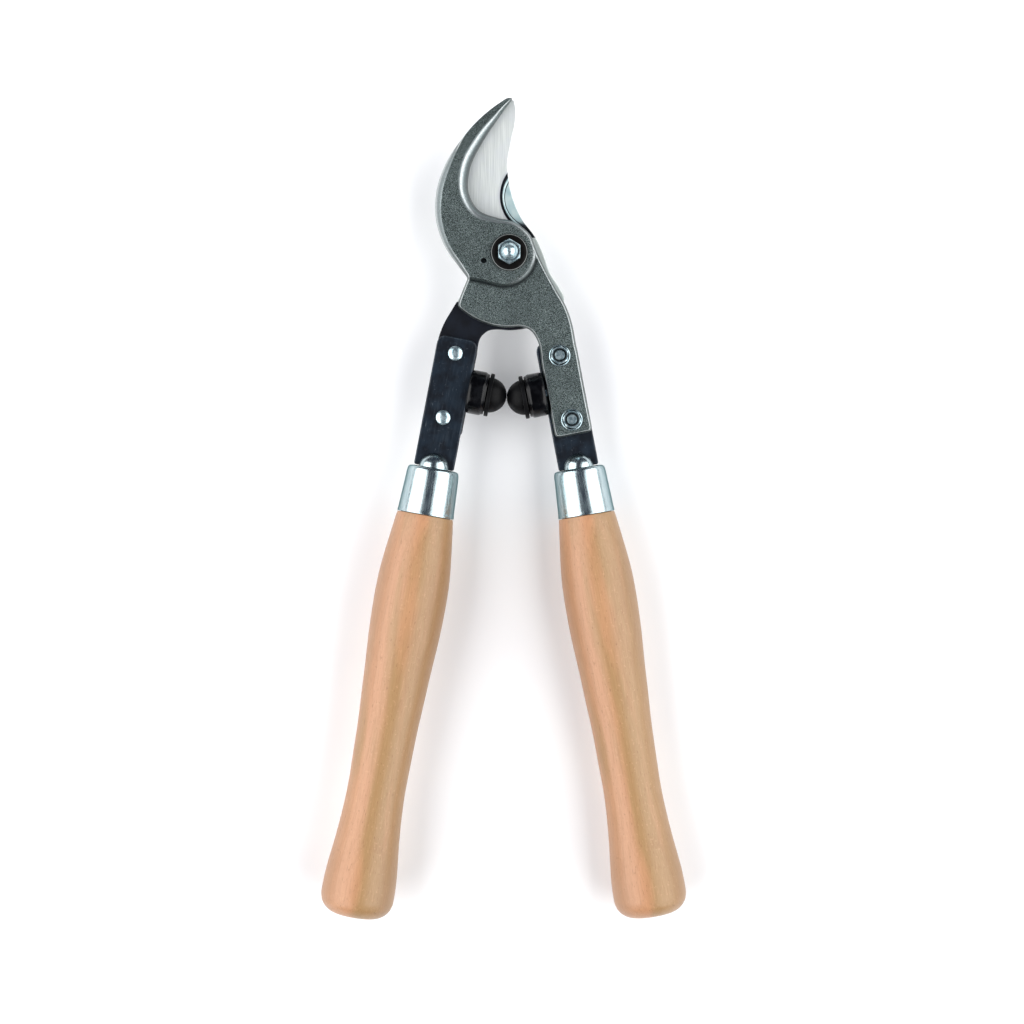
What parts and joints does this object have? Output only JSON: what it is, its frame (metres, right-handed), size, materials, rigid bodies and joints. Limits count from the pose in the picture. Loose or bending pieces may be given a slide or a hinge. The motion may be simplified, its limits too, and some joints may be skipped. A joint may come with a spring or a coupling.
{
  "type": "pruning shears",
  "caption": "Long-handled bypass pruning shears with a ground cutting blade, hooked counter blade, pivot bolt, flat shanks, stop buffers and turned wooden grips.",
  "frame": {"origin": "bottom centre of the bounding box, with the closed tool lying on its back", "axes": "+Y from the handles to the blade tip, +Z out of the front face along the pivot bolt, +X to the right seen from the front"},
  "size_m": [0.1774, 0.3986, 0.0409],
  "materials": {
    "forged": "dark grey speckled lacquer on forged steel, edges worn bright",
    "blade": "ground steel with fine lines along the blade, black coated below the hub",
    "spring_washer": "brown-black oiled spring steel",
    "zinc": "bright zinc plated steel",
    "bar": "blackened flat steel, faint scratches",
    "ferrule": "bright nickel-chrome plated sheet",
    "beech": "clear satin lacquered turned beech, fine flecks",
    "buffer_seat": "black, glossy",
    "buffer": "black moulded rubber"
  },
  "bodies": {
    "hook_half": {"hook_forging": "forged", "pivot_back_washer": "zinc", "pivot_bolt": "zinc", "pivot_nut": "zinc", "pivot_spring_washer": "spring_washer", "right_bolt_lower": "zinc", "right_bolt_upper": "zinc", "right_buffer": "buffer", "right_buffer_seat": "buffer_seat", "right_buffer_stud": "zinc", "right_ferrule": "ferrule", "right_handle": "beech", "right_nut_lower": "zinc", "right_nut_upper": "zinc", "right_shank": "bar"},
    "blade_half": {"cutting_blade": "blade", "left_bolt_lower": "zinc", "left_bolt_upper": "zinc", "left_buffer": "buffer", "left_buffer_seat": "buffer_seat", "left_buffer_stud": "zinc", "left_ferrule": "ferrule", "left_handle": "beech", "left_nut_lower": "zinc", "left_nut_upper": "zinc", "left_shank": "bar"}
  },
  "joints": [
    {"name": "pivot", "type": "hinge", "parent": "hook_half", "child": "blade_half", "pos_m": [0.0026, 0.12362, 0.02045], "axis": [0, 0, -1], "range_deg": [0, 60]}
  ]
}
